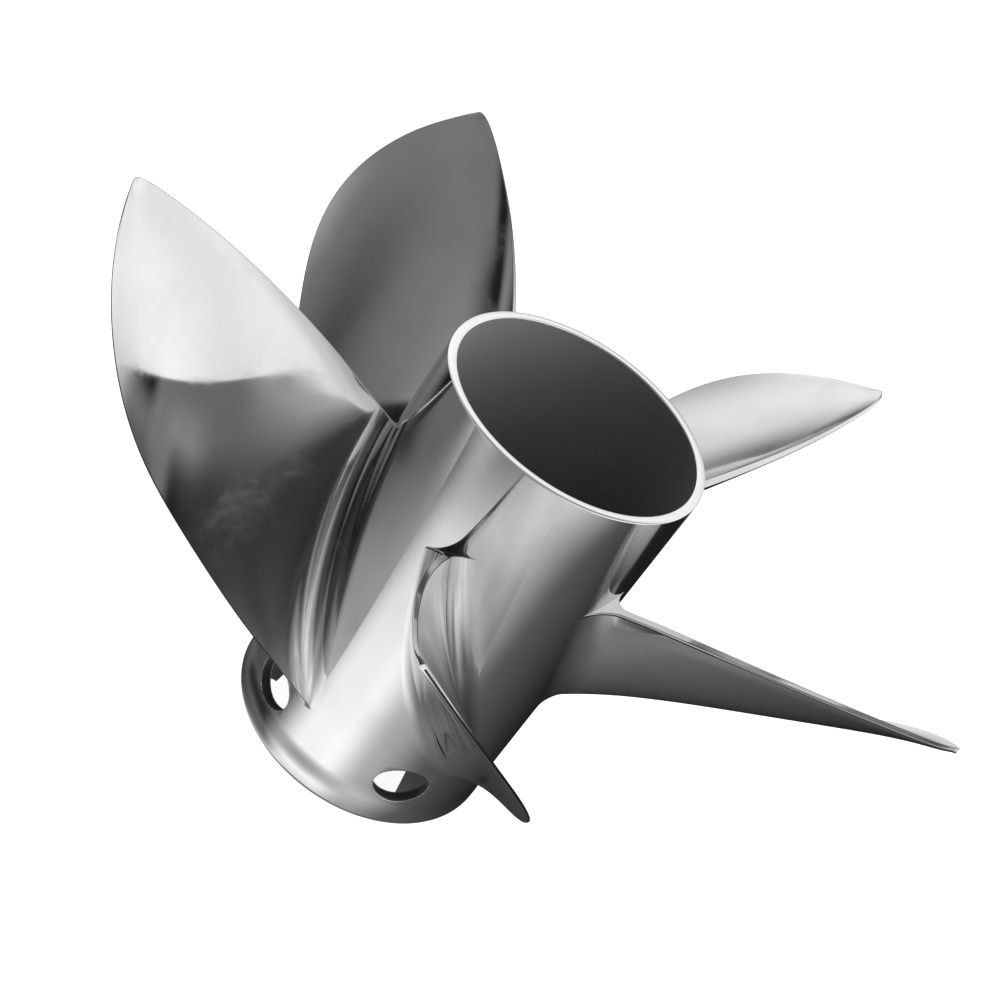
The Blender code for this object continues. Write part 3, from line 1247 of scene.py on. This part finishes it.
@dataclass
class Sleeve:
    """The splined drive sleeve, cut from a turned blank."""

    radius: float = 0.0145
    bottom: float = 0.0110
    top: float = 0.1060
    chamfer: float = 0.0012
    teeth: int = 15
    root_radius: float = 0.0127
    tip_radius: float = 0.0113
    sides: int = 120
    crease: float = 30
    finish: Finish = MachinedBrass()

    def build(self) -> None:
        """Turn the blank, then press the gaps between the teeth outwards."""
        small = self.chamfer / 3
        blank = turned("splined_sleeve", [
            (self.tip_radius, self.bottom + small), (self.tip_radius + small, self.bottom),
            (self.radius - self.chamfer, self.bottom), (self.radius, self.bottom + self.chamfer),
            (self.radius, self.top - self.chamfer), (self.radius - self.chamfer, self.top),
            (self.tip_radius + small, self.top), (self.tip_radius, self.top - small),
        ], self.sides)
        per_tooth = self.sides // self.teeth
        share = self.root_radius / self.tip_radius
        for vertex in blank.data.vertices:
            x, y, _ = vertex.co
            turn = math.atan2(y, x) % FULL_TURN
            place = round(turn / FULL_TURN * self.sides) % per_tooth
            inside = math.hypot(x, y) < (self.tip_radius + self.root_radius) / 2
            if inside and place < per_tooth // 2:
                vertex.co.x *= share
                vertex.co.y *= share
        smooth_by_angle(blank, self.crease)
        dress(blank, self.finish, Slot.BRASS, "drive_sleeve")


# Studio


@dataclass(frozen=True)
class SoftBox:
    """A soft-edged patch of studio light or shade, far away in one direction, in degrees."""

    azimuth: float
    elevation: float
    half_width: float
    half_height: float
    edge: float
    strength: float


@dataclass
class Studio:
    """Plain soft studio: a pale floor and backdrop, and large soft lights out of view."""

    fill: float = 0.24
    least: float = 0.015
    floor_size: float = 12.0
    floor_drop: float = 0.0002
    backdrop: float = 1.0
    boxes: tuple[SoftBox, ...] = (
        SoftBox(50, 57, 106, 45, 24, 0.76),
        SoftBox(-108, -43, 30, 10, 18, 1.20),
        SoftBox(-44, -4, 24, 16, 11, 0.56),
        SoftBox(-62, -26, 22, 28, 24, 0.42),
        SoftBox(157, 2, 58, 26, 29, 0.53),
        SoftBox(79, -16, 12, 10, 8, 0.88),
        SoftBox(-173, -60, 44, 10, 6, 0.58),
        SoftBox(94, -28, 115, 33, 92, -0.33),
        SoftBox(-101, 11, 26, 12, 6, -0.19),
        SoftBox(-172, 34, 18, 8, 7, -0.25),
        SoftBox(15, 13, 34, 18, 19, 0.58),
        SoftBox(-2, -7, 19, 4, 7, 0.63),
        SoftBox(-100, 52, 17, 0, 17, -0.31),
        SoftBox(-177, -7, 31, 21, 14, -0.55),
        SoftBox(-42, 34, 4, 5, 11, -1.49),
        SoftBox(6, 14, 10, 14, 15, -0.63),
        SoftBox(179, 15, 23, 24, 8, -0.12),
        SoftBox(96, 10, 23, 13, 9, -0.39),
        SoftBox(-58, 6, 16, 11, 8, -0.39),
        SoftBox(-117, 25, 16, 2, 11, 0.37),
        SoftBox(166, 53, 28, 9, 4, 0.50),
        SoftBox(108, 61, 60, 24, 3, -0.67),
        SoftBox(-144, -11, 19, 11, 9, 0.49),
        SoftBox(111, -1, 3, 6, 6, -0.20),
        SoftBox(-166, 38, 10, 10, 12, -0.20),
    )

    def light(self) -> None:
        """Paint the soft boxes round the world; the camera itself sees a pale backdrop."""
        world = bpy.data.worlds.new("studio")
        bpy.context.scene.world = world
        shader = Shader(world)
        x, y, z = shader.parts(shader.out("TexCoord", "Generated"))
        azimuth, elevation = y.math("ARCTAN2", x), z.math("ARCSINE")
        total: Value = self.fill
        for box in self.boxes:
            turn = math.radians(box.azimuth)
            across = abs(azimuth.math("WRAP", turn + math.pi, turn - math.pi) - turn)
            above = abs(elevation - math.radians(box.elevation))
            wide, tall, edge = (math.radians(v) for v in
                                (box.half_width, box.half_height, box.edge))
            patch = (shader.step(across, wide + edge, wide - edge)
                     * shader.step(above, tall + edge, tall - edge))
            total = patch.math("MULTIPLY_ADD", box.strength, total)
        level = total.math("MAXIMUM", self.least)
        lights = shader.out("Background", 0, None, {"Color": (1, 1, 1, 1), "Strength": level})
        plain = shader.out("Background", 0, None,
                           {"Color": (1, 1, 1, 1), "Strength": self.backdrop})
        seen = shader.out("LightPath", "Is Camera Ray")
        surface = shader.out("MixShader", 0, None, {0: seen, 1: lights, 2: plain})
        shader.node("OutputWorld", None, {"Surface": surface})
        world.cycles.sampling_method = "NONE"

    def floor(self) -> None:
        """A large pale floor that the propeller stands on."""
        deselect_all()
        bpy.ops.mesh.primitive_plane_add(size=self.floor_size,
                                         location=(0, 0, -self.floor_drop))
        ground = settle(bpy.context.object, "studio_floor")
        ground.data.materials.append(PaleFloor().material())
        ground.visible_glossy = False
        ground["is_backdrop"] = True


@dataclass
class Portrait:
    """The camera at the photograph's place and angle."""

    position: Triple = (-0.00577, -0.61360, 0.55686)
    right: Triple = (0.81441, 0.32682, 0.47950)
    up: Triple = (-0.58029, 0.45868, 0.67296)
    back: Triple = (0.00000, -0.82632, 0.56320)
    lens: float = 65.41
    sensor: float = 36.0
    near: float = 0.01

    def build(self) -> None:
        """Add the camera and make it the scene's."""
        data = bpy.data.cameras.new("portrait")
        data.lens = self.lens
        data.sensor_width = self.sensor
        data.clip_start = self.near
        camera = bpy.data.objects.new("portrait", data)
        bpy.context.scene.collection.objects.link(camera)
        axes = Matrix((self.right, self.up, self.back)).transposed()
        camera.matrix_world = Matrix.Translation(self.position) @ axes.to_4x4()
        bpy.context.scene.camera = camera


def corners(box: Iterable[Vector]) -> list[list[float]]:
    """A box's two corners as plain lists."""
    return [[round(value, 6) for value in corner] for corner in box]


def main() -> None:
    """Load the frame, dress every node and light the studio."""
    logging.basicConfig(level=logging.INFO, format="%(name)s: %(message)s")
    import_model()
    cad_box = corners(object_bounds())
    barrel = Barrel()
    inner = InnerHub()
    barrel.build()
    BladeSet(barrel).build()
    inner.build()
    Ribs(barrel, inner).build()
    Cushion().build()
    Sleeve().build()
    studio = Studio()
    studio.light()
    studio.floor()
    Portrait().build()
    bpy.context.scene.view_settings.view_transform = "Standard"
    {"cad": cad_box, "visual": corners(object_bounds())}


if __name__ == "__main__":
    main()
